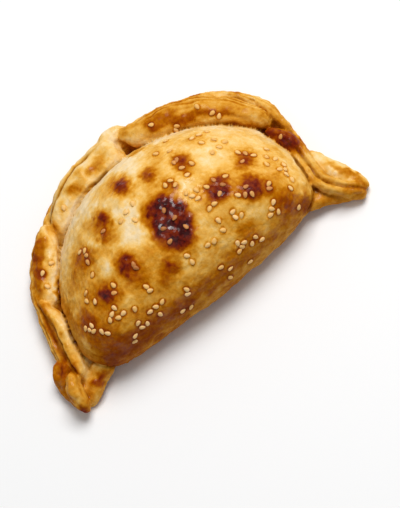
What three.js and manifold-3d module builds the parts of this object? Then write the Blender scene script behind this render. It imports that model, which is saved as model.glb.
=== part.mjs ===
// A baked half-moon empanada: a dome of filled dough, its sealed border folded back over the edge in long
// pleats, a pinched ear at each end and sesame seeds baked on. It is one solid on a flat underside.
// Millimetres, +Z up. Places are measured from the fold: X along it, Y from it towards the sealed border.

import * as THREE from "three";
import { LoftGeometry } from "three/addons/geometries/LoftGeometry.js";
import { mergeVertices } from "three/addons/utils/BufferGeometryUtils.js";
import Module from "manifold-3d";

// The filled dome
const DOME_HEIGHT = 42;
const DOME_CREST = [1, 34];
// Plan of its widest line, anticlockwise from the middle of the fold
const DOME_OUTLINE = [
  [2, -1], [34, 1.2], [53, 5.2], [60.5, 11], [63.2, 24], [63.3, 38], [59.5, 50.5], [47.5, 65], [28, 75.5],
  [5, 80], [-18, 78], [-36, 70], [-51, 57], [-60, 42], [-63.5, 27], [-62, 13], [-54, 3.2], [-34, 0.6],
];
// How the dome meets the floor and curves up, at the fold and at the sealed border
const AT_FOLD = { waist: 11, undercut: 9, fullness: 2.4, roundness: 2.0 };
const AT_BORDER = { waist: 5, undercut: 3, fullness: 2.3, roundness: 1.3 };
// Between these distances behind the fold, the dome turns from the fold's form to the border's
const FOLD_REACH = [5, 45];
// The filling lifts the top in gentle lumps
const LUMP_HEIGHT = 0.7;
const LUMP_LENGTH = [52, 31];

// The flat sheet of dough under everything
const SHEET_THICKNESS = 6;

// The pleats of the border, from the left ear round to the right one. Each is a strand of dough that tapers
// to a rounded nose at both ends: its path holds plan place, height of its top and half its width, and its
// tilt in degrees leans its outer side down.
const NOSE_LEAST = 0.12;
const FLATTENED_BELOW = 2;
const PLEATS = {
  sealedBorder: {
    thick: 9, nose: 6, tilt: 0,
    path: [
      [-69, 12, 7, 6.5], [-66, 29, 8, 6.2], [-60, 47.5, 8, 6.4], [-55.2, 59.3, 8, 7], [-46.9, 69.4, 8, 6.9],
      [-33, 79.2, 8, 6.9], [-18, 85, 8, 7], [-2, 87.4, 8, 7.2], [18, 85, 8, 7], [38.6, 79.9, 8, 6.5],
      [56, 66.9, 8, 6.9], [62.8, 53, 8, 7.8], [64, 39, 8, 7.5], [65.6, 25, 7, 5.8], [70.5, 10, 7, 5.5],
    ],
  },
  leftEar: {
    thick: 9, nose: 4, tilt: 0,
    path: [
      [-70.5, 24.5, 7.5, 2.6], [-74, 18.6, 8.5, 5], [-75.2, 12, 9, 6.2], [-75, 4.5, 8.5, 6.2],
      [-77.6, -1.6, 7.5, 4.2],
    ],
  },
  leftFlap: {
    thick: 8, nose: 4, tilt: 0,
    path: [[-76.4, -0.4, 6, 3.6], [-70, 3.2, 8.4, 5], [-64.4, 6.4, 10, 5], [-54, 10, 13, 6.5]],
  },
  leftWeb: {
    thick: 9, nose: 4, tilt: 0,
    path: [[-65.6, 8.5, 8, 3], [-62.8, 14.5, 10.8, 4], [-61.2, 22, 12.4, 3.4]],
  },
  leftKnob: {
    thick: 9, nose: 4, tilt: 0,
    path: [[-80.2, 12.6, 9, 1.6], [-78.9, 15.6, 11.2, 2.4], [-75.8, 18.8, 12, 2.6], [-72, 22.4, 11.2, 2]],
  },
  leftCrimp: {
    thick: 8, nose: 3, tilt: 0,
    path: [
      [-79.6, 9.4, 9.2, 1.6], [-76.8, 13.4, 12, 2.2], [-73.4, 16.4, 13.2, 2.1], [-70.6, 19.6, 12.4, 1.4],
    ],
  },
  leftLobe: {
    thick: 10, nose: 4, tilt: 0,
    path: [
      [-76.8, -4.2, 11, 3], [-75.8, 0.5, 15.2, 3.8], [-74.9, 5.5, 17, 3.8], [-73.2, 9.8, 16.4, 2.8],
      [-71.8, 12.4, 15, 1.7],
    ],
  },
  leftBand: {
    thick: 12, nose: 6, tilt: 22,
    path: [
      [-69.8, 4.4, 9, 3.8], [-69.8, 17, 11.5, 5], [-68.2, 26, 13, 5.9], [-66.4, 35, 13.5, 5.9],
      [-64.4, 44, 13, 5.3], [-62.4, 53, 12.5, 4.2], [-59, 63, 10.5, 2.2],
    ],
  },
  leftLeaf: {
    thick: 11, nose: 5, tilt: 14,
    path: [
      [-69.2, 6.8, 11.5, 1.6], [-67.4, 10.8, 14, 2.3], [-66.6, 17, 15, 3.2], [-65, 24.4, 15.8, 3.6],
      [-63.3, 32.5, 16.6, 3.6], [-63.4, 41.6, 15.6, 2.8], [-63.8, 51, 13.8, 1],
    ],
  },
  firstPleat: {
    thick: 14, nose: 6, tilt: 20,
    path: [
      [-61.5, 38, 10, 2.4], [-60.4, 47.5, 13.2, 6], [-55.8, 57.5, 15.2, 7.8], [-51, 63.8, 16, 6.8],
      [-47, 68.4, 16.6, 5.4], [-43.6, 72.4, 15.6, 3.6], [-40.4, 76, 13, 1.8],
    ],
  },
  secondPleat: {
    thick: 15, nose: 4.5, tilt: 16,
    path: [
      [-49, 60, 7, 2.4], [-42.4, 68.4, 8.6, 5.4], [-34.5, 75, 12, 7.2], [-22, 81.5, 15.2, 8.5],
      [-9, 83.2, 16.2, 9.4], [5.4, 84.4, 16.6, 9.2],
    ],
  },
  tuck: {
    thick: 11, nose: 4, tilt: 0,
    path: [[-6, 87.8, 12, 3], [3, 89.8, 14, 4.6], [9.5, 90.2, 12.8, 4.2], [14.6, 87.4, 10.5, 2.6]],
  },
  mainRoll: {
    thick: 16, nose: 6, tilt: 18,
    path: [
      [4.6, 88.6, 11.5, 3], [12, 84.6, 15.6, 6.4], [21.5, 80.8, 18, 8], [32.5, 77.8, 18.2, 7.6],
      [43, 72.7, 18, 8.2], [52.4, 65, 17, 7.5], [59.8, 55.6, 15.5, 5.2], [64, 46.4, 12.5, 2],
    ],
  },
  rollLayers: {
    thick: 10, nose: 6, tilt: 14,
    path: [
      [30, 86.8, 9.5, 1.6], [49, 77.8, 11.5, 2.4], [59.4, 68.8, 12.3, 2.8], [66.7, 57.4, 12, 3.4],
      [68.3, 48.5, 11, 2.9], [68.8, 39, 9, 2],
    ],
  },
  scorchedTuck: {
    thick: 11, nose: 4, tilt: 0,
    path: [[60.2, 47.5, 12.5, 1.8], [63.6, 41.5, 14.5, 3.4], [65.8, 34.5, 14.8, 3.7], [66.2, 28.6, 12, 2.8]],
  },
  innerStrand: {
    thick: 11, nose: 4, tilt: 0,
    path: [
      [64.4, 34, 12.4, 2.3], [63.5, 22, 14.6, 2.6], [62.9, 14.5, 14.6, 2.6], [64.5, 9, 13.8, 2.5],
      [68.2, 4.4, 12.4, 2.4], [72.6, 0.3, 10.6, 2.3], [77.8, -3.2, 8.6, 2.2],
    ],
  },
  outerStrand: {
    thick: 9, nose: 4, tilt: 0,
    path: [
      [68.4, 35, 11.6, 2.5], [67.3, 24.1, 12.8, 2.6], [66.8, 16.6, 12.6, 2.4], [67.6, 11.8, 12.5, 2.3],
      [70.6, 7.4, 11.5, 2.2], [74.5, 3.3, 10.5, 2.1], [79.2, -0.8, 8.5, 1.9],
    ],
  },
  rightEar: {
    thick: 10, nose: 4, tilt: 12,
    path: [
      [68.2, 30, 8, 2.4], [71, 17, 10, 5], [74.6, 9.4, 9.4, 4.8], [77.6, 2.6, 7.6, 3.8], [78, -1.4, 6.8, 3.2],
    ],
  },
  rightFlap: {
    thick: 8, nose: 4, tilt: 0,
    path: [[52, 11.5, 12.5, 6.5], [61, 8.6, 10, 5.6], [68, 4.8, 7.5, 4.4], [74.4, 0.4, 6, 3.2]],
  },
};

// Sesame seeds, strewn from a little in front of upright. They lie in loose patches: each has its middle,
// along the fold and up the slanted view, how far it spreads and how many seeds it holds.
const SEED_LENGTH = 2.8;
const SEED_WIDTH = 1.9;
const SEED_THICKNESS = 1;
const SEED_SUNK = 0.3;
const SEED_TURN = 2.3;
const PATCH_TURN = 1.7;
const STREWN_SLANT = 20;
const STREWN_HEIGHT = 200;
const SEED_PATCHES = [
  [19, 65.5, 7, 4], [36, 62, 4.5, 4], [22.5, 56.5, 5, 4], [38.5, 55, 4.5, 4], [12.5, 54, 2.8, 3],
  [-8.5, 54, 5.5, 4], [17.5, 44.5, 3.4, 4], [28.5, 40.5, 5.6, 5], [45.5, 43, 4.2, 4], [54, 37, 4.4, 4],
  [35, 31.5, 3.8, 4], [54.5, 28.5, 2.8, 4], [45.5, 27, 1.6, 2], [26.5, 25.5, 2.6, 3], [17.5, 26, 3.5, 2],
  [11, 22.5, 2.6, 2], [0, 24, 2.6, 2], [20, 35.5, 2.4, 2], [19.5, 14.5, 2.6, 4], [26.5, 12.5, 3, 3],
  [41, 18, 3.4, 4], [52.5, 22, 3, 2], [9, 10, 4, 3], [50, 12, 0, 1], [19, 6.5, 0, 1], [-10.5, 13, 1.6, 2],
  [-14.5, 6.5, 3, 2], [-24, 15, 4.2, 4], [-33.5, 13.5, 2.6, 3], [-22.5, 24, 1.8, 2], [-32, 21, 0, 1],
  [-40, 24.5, 3.8, 5], [-52.5, 26.5, 2.4, 4], [-48.5, 20.5, 2, 2], [-39.5, 11, 2, 2], [-45, 36, 3.6, 3],
  [-34.5, 33, 2.6, 2], [-35, 54, 2.2, 3], [-35.5, 47, 4.5, 2], [-22.5, 55.5, 0, 1], [-21, 35, 1.4, 2],
  [3, 39.5, 8, 5], [22.5, 81, 0, 1], [43.5, 74.5, 0, 1], [47.5, 66, 2.6, 2], [31, 73, 1.4, 2],
  [-56, 58.6, 0, 1], [-50.2, 59.8, 0, 1], [-57.9, 52.7, 0, 1], [-31.2, 76.2, 0, 1], [64, 41, 0, 1],
];

// Facets
const DOME_AROUND = 60;
const DOME_WALL_STEPS = 4;
const DOME_TOP_STEPS = 10;
const PLEAT_SIDES = 10;
const PLEAT_STEP = 4;
const PLEAT_LEAST_STEPS = 7;
const SHEET_AROUND = 48;
const SEED_SIDES = 5;
const SEED_STEPS = 3;

const CRUST_COLOUR = 0xd9a253;

const wasm = await Module();
wasm.setup();

// A closed three.js geometry as a manifold-3d solid
function solidOf(geometry) {
  const bare = new THREE.BufferGeometry();
  bare.setAttribute("position", geometry.getAttribute("position"));
  bare.setIndex(geometry.getIndex());
  const merged = mergeVertices(bare, 1e-4);
  const vertProperties = merged.getAttribute("position").array;
  const triVerts = new Uint32Array(merged.getIndex().array);
  return new wasm.Manifold(new wasm.Mesh({ numProp: 3, vertProperties, triVerts }));
}

// A manifold-3d solid as a three.js geometry
function geometryOf(solid) {
  const { vertProperties, triVerts } = solid.getMesh();
  const geometry = new THREE.BufferGeometry();
  geometry.setAttribute("position", new THREE.BufferAttribute(vertProperties, 3));
  geometry.setIndex(new THREE.BufferAttribute(triVerts, 1));
  geometry.computeVertexNormals();
  return geometry;
}

// A smooth curve through places of the form [x, y, height]
function curveThrough(places, closed = false) {
  const points = places.map(([x, y, height = 0]) => new THREE.Vector3(x, y, height));
  return new THREE.CatmullRomCurve3(points, closed, "catmullrom", 0.5);
}

// The dome is a stack of rings, each the outline drawn in towards the crest. Under the widest line the wall
// is a quarter ellipse down to the floor, and above it a superellipse with gentle lumps up to the crest.
function domeGeometry() {
  const outline = curveThrough(DOME_OUTLINE, true);
  const around = Array.from({ length: DOME_AROUND }, (_, i) => {
    const edge = outline.getPoint(i / DOME_AROUND);
    const fold = 1 - THREE.MathUtils.smoothstep(edge.y, ...FOLD_REACH);
    const between = (key) => THREE.MathUtils.lerp(AT_BORDER[key], AT_FOLD[key], fold);
    const reach = Math.hypot(edge.x - DOME_CREST[0], edge.y - DOME_CREST[1]);
    return {
      edge, reach, waist: between("waist"), undercut: between("undercut"),
      fullness: between("fullness"), roundness: between("roundness"),
    };
  });
  const ring = (place) => around.map((side) => {
    const [share, height] = place(side);
    const x = THREE.MathUtils.lerp(DOME_CREST[0], side.edge.x, share);
    const y = THREE.MathUtils.lerp(DOME_CREST[1], side.edge.y, share);
    const lump = Math.sin(x / LUMP_LENGTH[0] * 2 * Math.PI) * Math.sin(y / LUMP_LENGTH[1] * 2 * Math.PI);
    const lift = Math.max(0, height - side.waist) / DOME_HEIGHT;
    return new THREE.Vector3(x, y, height + LUMP_HEIGHT * lump * lift);
  });
  const rings = [];
  for (let i = 0; i < DOME_WALL_STEPS; i++) {
    const turn = (1 - i / DOME_WALL_STEPS) * Math.PI / 2;
    rings.push(ring((side) => [
      1 - side.undercut * (1 - Math.cos(turn)) / side.reach,
      side.waist * (1 - Math.sin(turn)),
    ]));
  }
  for (let i = 0; i < DOME_TOP_STEPS; i++) {
    const share = Math.cos(i / DOME_TOP_STEPS * Math.PI / 2);
    rings.push(ring((side) => [
      share,
      side.waist + (DOME_HEIGHT - side.waist) * (1 - share ** side.fullness) ** (1 / side.roundness),
    ]));
  }
  return new LoftGeometry(rings, { closed: true, capStart: true, capEnd: true });
}

// A pleat is an ellipse carried along its path, no lower than the floor
function pleatGeometry({ path, thick, nose, tilt }) {
  const line = curveThrough(path);
  const widths = curveThrough(path.map(([, , , half]) => [half, 0]));
  const length = line.getLength();
  const steps = Math.max(PLEAT_LEAST_STEPS, Math.round(length / PLEAT_STEP));
  const lean = THREE.MathUtils.degToRad(-tilt);
  const rings = [];
  for (let i = 0; i <= steps; i++) {
    // half even steps and half cosine ones, which are closer together at both noses
    const t = (i / steps + (1 - Math.cos(i / steps * Math.PI)) / 2) / 2;
    const top = line.getPoint(t);
    const along = line.getTangent(t).setZ(0).normalize();
    const fromEnd = Math.min(t, 1 - t) * length;
    const swell = Math.max(NOSE_LEAST, Math.sqrt(1 - Math.max(0, 1 - fromEnd / nose) ** 2));
    const half = widths.getPoint(t).x * swell;
    const rise = Math.min(thick, top.z + FLATTENED_BELOW) / 2;
    const middle = top.z - rise;
    rings.push(Array.from({ length: PLEAT_SIDES }, (_, j) => {
      const turn = j / PLEAT_SIDES * Math.PI * 2;
      const across = half * Math.cos(turn);
      const up = rise * swell * Math.sin(turn);
      const out = across * Math.cos(lean) - up * Math.sin(lean);
      const height = middle + across * Math.sin(lean) + up * Math.cos(lean);
      return new THREE.Vector3(top.x - along.y * out, top.y + along.x * out, Math.max(0, height));
    }));
  }
  return new LoftGeometry(rings, { closed: true, capStart: true, capEnd: true });
}

// The sheet reaches the middle of the sealed border and runs straight across under the fold
function sheetGeometry() {
  const middle = curveThrough(PLEATS.sealedBorder.path.map(([x, y]) => [x, y]));
  const under = middle.getPoints(SHEET_AROUND).reverse();
  const over = under.map((point) => point.clone().setZ(SHEET_THICKNESS));
  return new LoftGeometry([under, over], { closed: true, capStart: true, capEnd: true });
}

let dough = solidOf(domeGeometry()).add(solidOf(sheetGeometry()));
for (const pleat of Object.values(PLEATS)) dough = dough.add(solidOf(pleatGeometry(pleat)));

// A seed is a small ellipsoid lying flat on the crust where it fell
const bare = new THREE.Mesh(geometryOf(dough), new THREE.MeshBasicMaterial());
const slant = THREE.MathUtils.degToRad(STREWN_SLANT);
const strewnFrom = new THREE.Vector3(0, -Math.sin(slant), Math.cos(slant));
const strewnUp = new THREE.Vector3(0, Math.cos(slant), Math.sin(slant));
function seedGeometry(along, up, turn) {
  const start = new THREE.Vector3(along, 0, 0);
  start.addScaledVector(strewnUp, up).addScaledVector(strewnFrom, STREWN_HEIGHT);
  const [hit] = new THREE.Raycaster(start, strewnFrom.clone().negate()).intersectObject(bare);
  const seed = new THREE.SphereGeometry(0.5, SEED_SIDES, SEED_STEPS);
  seed.rotateX(Math.PI / 2);
  seed.scale(SEED_LENGTH, SEED_WIDTH, SEED_THICKNESS);
  seed.rotateZ(turn);
  const normal = hit.face.normal;
  seed.applyQuaternion(new THREE.Quaternion().setFromUnitVectors(new THREE.Vector3(0, 0, 1), normal));
  const seat = hit.point.addScaledVector(normal, SEED_THICKNESS / 2 - SEED_SUNK);
  return seed.translate(seat.x, seat.y, seat.z);
}

// Within a patch the seeds follow a sunflower's spiral, and each is turned on from the one before
const GOLDEN_ANGLE = Math.PI * (3 - Math.sqrt(5));
const seeds = [];
SEED_PATCHES.forEach(([along, up, spread, count], patch) => {
  for (let i = 0; i < count; i++) {
    const out = spread * Math.sqrt((i + 0.5) / count);
    const way = GOLDEN_ANGLE * i + PATCH_TURN * patch;
    const turn = SEED_TURN * seeds.length;
    seeds.push(solidOf(seedGeometry(along + out * Math.cos(way), up + out * Math.sin(way), turn)));
  }
});
dough = wasm.Manifold.union([dough, ...seeds]);

// The origin is the middle of the underside
const crust = geometryOf(dough);
crust.computeBoundingBox();
const centre = crust.boundingBox.getCenter(new THREE.Vector3());
const material = new THREE.MeshStandardMaterial({ color: CRUST_COLOUR, roughness: 0.5, metalness: 0 });
const empanada = new THREE.Mesh(crust, material);
empanada.name = "empanada";
empanada.position.set(-centre.x, -centre.y, 0);

const part = new THREE.Group();
part.add(empanada);
export default part;
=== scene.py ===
import bpy
import numpy as np
from mathutils import Matrix, Vector
from mathutils.bvhtree import BVHTree


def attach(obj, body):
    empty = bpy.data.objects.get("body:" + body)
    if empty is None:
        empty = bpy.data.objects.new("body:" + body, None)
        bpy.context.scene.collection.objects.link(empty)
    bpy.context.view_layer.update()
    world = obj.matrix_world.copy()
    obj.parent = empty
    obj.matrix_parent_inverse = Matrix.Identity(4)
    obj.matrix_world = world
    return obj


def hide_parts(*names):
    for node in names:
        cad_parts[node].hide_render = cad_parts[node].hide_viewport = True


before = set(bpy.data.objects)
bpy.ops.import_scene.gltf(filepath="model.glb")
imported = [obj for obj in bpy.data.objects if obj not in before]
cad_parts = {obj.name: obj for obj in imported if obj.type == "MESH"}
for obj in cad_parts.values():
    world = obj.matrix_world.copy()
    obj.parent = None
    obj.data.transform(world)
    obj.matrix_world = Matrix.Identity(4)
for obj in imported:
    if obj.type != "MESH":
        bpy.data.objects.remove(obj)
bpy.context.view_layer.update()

# The dough: a disc of wheat dough folded over its filling, so that it swells into a dome. Its edge is
# sealed, folded back over the dome in long pleats and pinched into an ear at each end, then brushed with
# egg and baked until it blistered. Places are in millimetres, x along the fold and y towards the border.
FOLD_IN_FRAME = np.array([0.046, -45.245, 0.0])
MM_PER_METRE = 1000

DOME_HEIGHT = 42.0
DOME_CREST = np.array([1.0, 34.0])
DOME_OUTLINE = [
    (2, -1), (34, 1.2), (53, 5.2), (60.5, 11), (63.2, 24), (63.3, 38), (59.5, 50.5), (47.5, 65), (28, 75.5),
    (5, 80), (-18, 78), (-36, 70), (-51, 57), (-60, 42), (-63.5, 27), (-62, 13), (-54, 3.2), (-34, 0.6),
]
# Waist height, undercut, fullness and roundness of the dome's side, at the fold and at the border
SIDE_AT_FOLD = np.array([11, 9, 2.4, 2.0])
SIDE_AT_BORDER = np.array([5, 3, 2.3, 1.3])
FOLD_REACH = (5, 45)
LUMP_HEIGHT = 0.7
LUMP_LENGTH = np.array([52, 31])
SHEET_THICKNESS = 6.0

# Each pleat's thickness, length of its rounded nose, outward tilt in degrees and browning, then x, y,
# height of the top and half width at places along it
PLEATS = {
    "sealed border": (9, 6, 0, 0.46, [
        (-69, 12, 7, 6.5), (-66, 29, 8, 6.2), (-60, 47.5, 8, 6.4), (-55.2, 59.3, 8, 7), (-46.9, 69.4, 8, 6.9),
        (-33, 79.2, 8, 6.9), (-18, 85, 8, 7), (-2, 87.4, 8, 7.2), (18, 85, 8, 7), (38.6, 79.9, 8, 6.5),
        (56, 66.9, 8, 6.9), (62.8, 53, 8, 7.8), (64, 39, 8, 7.5), (65.6, 25, 7, 5.8), (70.5, 10, 7, 5.5)]),
    "left ear": (9, 4, 0, 0.54, [
        (-70.5, 24.5, 7.5, 2.6), (-74, 18.6, 8.5, 5), (-75.2, 12, 9, 6.2), (-75, 4.5, 8.5, 6.2),
        (-77.6, -1.6, 7.5, 4.2)]),
    "left flap": (8, 4, 0, 0.36, [
        (-76.4, -0.4, 6, 3.6), (-70, 3.2, 8.4, 5), (-64.4, 6.4, 10, 5), (-54, 10, 13, 6.5)]),
    "left web": (9, 4, 0, 0.14, [(-65.6, 8.5, 8, 3), (-62.8, 14.5, 10.8, 4), (-61.2, 22, 12.4, 3.4)]),
    "left knob": (9, 4, 0, 0.56, [
        (-80.2, 12.6, 9, 1.6), (-78.9, 15.6, 11.2, 2.4), (-75.8, 18.8, 12, 2.6), (-72, 22.4, 11.2, 2)]),
    "left crimp": (8, 3, 0, 0.55, [
        (-79.6, 9.4, 9.2, 1.6), (-76.8, 13.4, 12, 2.2), (-73.4, 16.4, 13.2, 2.1), (-70.6, 19.6, 12.4, 1.4)]),
    "left lobe": (10, 4, 0, 0.38, [
        (-76.8, -4.2, 11, 3), (-75.8, 0.5, 15.2, 3.8), (-74.9, 5.5, 17, 3.8), (-73.2, 9.8, 16.4, 2.8),
        (-71.8, 12.4, 15, 1.7)]),
    "left band": (12, 6, 22, 0.44, [
        (-69.8, 4.4, 9, 3.8), (-69.8, 17, 11.5, 5), (-68.2, 26, 13, 5.9), (-66.4, 35, 13.5, 5.9),
        (-64.4, 44, 13, 5.3), (-62.4, 53, 12.5, 4.2), (-59, 63, 10.5, 2.2)]),
    "left leaf": (11, 5, 14, 0.27, [
        (-69.2, 6.8, 11.5, 1.6), (-67.4, 10.8, 14, 2.3), (-66.6, 17, 15, 3.2), (-65, 24.4, 15.8, 3.6),
        (-63.3, 32.5, 16.6, 3.6), (-63.4, 41.6, 15.6, 2.8), (-63.8, 51, 13.8, 1)]),
    "first pleat": (14, 6, 20, 0.21, [
        (-61.5, 38, 10, 2.4), (-60.4, 47.5, 13.2, 6), (-55.8, 57.5, 15.2, 7.8), (-51, 63.8, 16, 6.8),
        (-47, 68.4, 16.6, 5.4), (-43.6, 72.4, 15.6, 3.6), (-40.4, 76, 13, 1.8)]),
    "second pleat": (15, 4.5, 16, 0.20, [
        (-49, 60, 7, 2.4), (-42.4, 68.4, 8.6, 5.4), (-34.5, 75, 12, 7.2), (-22, 81.5, 15.2, 8.5),
        (-9, 83.2, 16.2, 9.4), (5.4, 84.4, 16.6, 9.2)]),
    "tuck": (11, 4, 0, 0.15, [
        (-6, 87.8, 12, 3), (3, 89.8, 14, 4.6), (9.5, 90.2, 12.8, 4.2), (14.6, 87.4, 10.5, 2.6)]),
    "main roll": (16, 6, 18, 0.23, [
        (4.6, 88.6, 11.5, 3), (12, 84.6, 15.6, 6.4), (21.5, 80.8, 18, 8), (32.5, 77.8, 18.2, 7.6),
        (43, 72.7, 18, 8.2), (52.4, 65, 17, 7.5), (59.8, 55.6, 15.5, 5.2), (64, 46.4, 12.5, 2)]),
    "roll layers": (10, 6, 14, 0.38, [
        (30, 86.8, 9.5, 1.6), (49, 77.8, 11.5, 2.4), (59.4, 68.8, 12.3, 2.8), (66.7, 57.4, 12, 3.4),
        (68.3, 48.5, 11, 2.9), (68.8, 39, 9, 2)]),
    "scorched tuck": (11, 4, 0, 0.66, [
        (60.2, 47.5, 12.5, 1.8), (63.6, 41.5, 14.5, 3.4), (65.8, 34.5, 14.8, 3.7), (66.2, 28.6, 12, 2.8)]),
    "inner strand": (11, 4, 0, 0.41, [
        (64.4, 34, 12.4, 2.3), (63.5, 22, 14.6, 2.6), (62.9, 14.5, 14.6, 2.6), (64.5, 9, 13.8, 2.5),
        (68.2, 4.4, 12.4, 2.4), (72.6, 0.3, 10.6, 2.3), (77.8, -3.2, 8.6, 2.2)]),
    "outer strand": (9, 4, 0, 0.38, [
        (68.4, 35, 11.6, 2.5), (67.3, 24.1, 12.8, 2.6), (66.8, 16.6, 12.6, 2.4), (67.6, 11.8, 12.5, 2.3),
        (70.6, 7.4, 11.5, 2.2), (74.5, 3.3, 10.5, 2.1), (79.2, -0.8, 8.5, 1.9)]),
    "right ear": (10, 4, 12, 0.22, [
        (68.2, 30, 8, 2.4), (71, 17, 10, 5), (74.6, 9.4, 9.4, 4.8), (77.6, 2.6, 7.6, 3.8),
        (78, -1.4, 6.8, 3.2)]),
    "right flap": (8, 4, 0, 0.46, [
        (52, 11.5, 12.5, 6.5), (61, 8.6, 10, 5.6), (68, 4.8, 7.5, 4.4), (74.4, 0.4, 6, 3.2)]),
}
NOSE_LEAST = 0.12
FLATTENED_BELOW = 2.0
# Distances are measured no further than this, and the skins are fused on cubes of this side
FAR = 9.0
VOXEL = 0.67
ROUNDING = 5


def smooth(low, high, value):
    """Goes from 0 at low to 1 at high along 3t squared less 2t cubed."""
    t = np.clip((value - low) / (high - low), 0, 1)
    return t * t * (3 - 2 * t)


def bell(offset, width):
    """Falls from 1 at no offset along e to the minus square of offset over width."""
    return np.exp(-(offset / width) ** 2)


def curve_through(places, t, closed=False):
    """Catmull-Rom curve through the places at shares t of the way along: in each span, the cubic that
    leaves and reaches its two ends along half the chord between their neighbours."""
    p = np.asarray(places, float)
    if closed:
        p = np.vstack([p[-1:], p, p[:2]])
    else:
        p = np.vstack([2 * p[:1] - p[1:2], p, 2 * p[-1:] - p[-2:-1]])
    spans = len(p) - 3
    i = np.minimum((t * spans).astype(int), spans - 1)
    w = (t * spans - i)[:, None]
    a, b, c, d = p[i], p[i + 1], p[i + 2], p[i + 3]
    return b + w * ((c - a) + w * ((2 * a - 5 * b + 4 * c - d) + w * (3 * b - a - 3 * c + d))) / 2


def closed_skin(rings):
    """Points of closed rings, the quads between neighbouring rings, and the triangles that fan from each
    end ring to its middle."""
    rows, columns = rings.shape[:2]
    points = np.vstack([rings.reshape(-1, 3), rings[0].mean(0), rings[-1].mean(0)])
    j = np.arange(columns)
    k = (j + 1) % columns
    row = np.arange(rows - 1)[:, None] * columns
    quads = np.stack([row + j, row + k, row + columns + k, row + columns + j], -1).reshape(-1, 4)
    top = (rows - 1) * columns
    middle = np.full(columns, rows * columns)
    start = np.stack([k, j, middle], -1)
    end = np.stack([top + j, top + k, middle + 1], -1)
    return points, quads, np.vstack([start, end])


def dome_sides(around):
    """Edge of the dome at shares of the way round, and its waist, undercut, fullness and roundness there."""
    edge = curve_through(DOME_OUTLINE, around, closed=True)
    border = smooth(*FOLD_REACH, edge[:, 1])[:, None]
    return edge, (SIDE_AT_FOLD + (SIDE_AT_BORDER - SIDE_AT_FOLD) * border).T


def dome_lumps(plan):
    """Gentle lumps of the filling: a sine along the fold times a sine across it."""
    return LUMP_HEIGHT * np.prod(np.sin(plan / LUMP_LENGTH * 2 * np.pi), -1)


def dome_skin(columns=400, wall_rows=30, top_rows=110):
    """Rings of the outline drawn in towards the crest: a quarter ellipse from the floor out to the waist,
    then a superellipse from the waist up to the crest, with the lumps growing with height."""
    edge, (waist, undercut, fullness, roundness) = dome_sides(np.arange(columns) / columns)
    reach = np.hypot(*(edge - DOME_CREST).T)
    turn = np.linspace(np.pi / 2, 0, wall_rows, endpoint=False)[:, None]
    wall_share = 1 - undercut * (1 - np.cos(turn)) / reach
    wall_height = waist * (1 - np.sin(turn))
    top_share = np.cos(np.linspace(0, np.pi / 2, top_rows, endpoint=False))[:, None] + 0 * waist
    top_height = waist + (DOME_HEIGHT - waist) * (1 - top_share ** fullness) ** (1 / roundness)
    share = np.vstack([wall_share, top_share])[..., None]
    height = np.vstack([wall_height, top_height])
    plan = DOME_CREST + share * (edge - DOME_CREST)
    height = height + dome_lumps(plan) * np.maximum(0, height - waist) / DOME_HEIGHT
    return closed_skin(np.dstack([plan, height]))


def dome_gap(points, columns=720, least_share=0.01, most_share=0.995):
    """Distance outside the dome: the height above it over the slope's length, or how far past its edge."""
    edge, (waist, undercut, fullness, roundness) = dome_sides(np.arange(columns) / columns)
    spoke = edge - DOME_CREST
    way = np.arctan2(spoke[:, 1], spoke[:, 0])
    order = np.argsort(way)
    from_crest = points[:, :2] - DOME_CREST
    at = np.arctan2(from_crest[:, 1], from_crest[:, 0])
    reach, waist, full, rounded = (
        np.interp(at, way[order], row[order], period=2 * np.pi)
        for row in (np.hypot(*spoke.T), waist, fullness, roundness))
    share = np.hypot(*from_crest.T) / reach
    s = np.clip(share, least_share, most_share)
    left = 1 - s ** full
    height = waist + (DOME_HEIGHT - waist) * left ** (1 / rounded)
    height += dome_lumps(points[:, :2]) * np.maximum(0, height - waist) / DOME_HEIGHT
    slope = (DOME_HEIGHT - waist) / rounded * left ** (1 / rounded - 1) * full * s ** (full - 1) / reach
    above = (points[:, 2] - height) / np.hypot(1, slope)
    beyond = (share - 1) * reach
    over_edge = np.hypot(beyond, np.maximum(0, points[:, 2] - waist))
    return np.where(share > 1, over_edge, np.where(points[:, 2] > waist, above, beyond))


def pleat_line(thick, nose, path, step=0.7, samples=200):
    """Stations along a pleat: middle of its ellipse, direction in plan, half width and half thickness, which
    shrink to a rounded nose at both ends, and millimetres along. The steps are closer near the noses."""
    rough = curve_through(path, np.linspace(0, 1, samples))
    length = np.linalg.norm(np.diff(rough[:, :3], axis=0), axis=1).sum()
    even = np.linspace(0, 1, int(length / step))
    t = (even + (1 - np.cos(even * np.pi)) / 2) / 2
    at = curve_through(path, t)
    along = np.gradient(at[:, :2], t, axis=0)
    along /= np.linalg.norm(along, axis=1, keepdims=True)
    from_end = np.minimum(t, 1 - t) * length
    swell = np.maximum(NOSE_LEAST, np.sqrt(1 - np.maximum(0, 1 - from_end / nose) ** 2))
    rise = np.minimum(thick, at[:, 2] + FLATTENED_BELOW) / 2
    middle = np.column_stack([at[:, :2], at[:, 2] - rise])
    return middle, along, at[:, 3] * swell, rise * swell, t * length


def pleat_skin(line, tilt, sides=48):
    """An ellipse carried along the pleat's stations, leaning out by the tilt and flattened on the floor."""
    middle, along, half, rise, run = line
    turn = np.arange(sides) / sides * 2 * np.pi
    across = half[:, None] * np.cos(turn)
    up = rise[:, None] * np.sin(turn)
    lean = np.radians(-tilt)
    out = across * np.cos(lean) - up * np.sin(lean)
    height = middle[:, 2:] + across * np.sin(lean) + up * np.cos(lean)
    x = middle[:, 0:1] - along[:, 1:2] * out
    y = middle[:, 1:2] + along[:, 0:1] * out
    return closed_skin(np.dstack([x, y, np.maximum(0, height)]))


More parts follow.
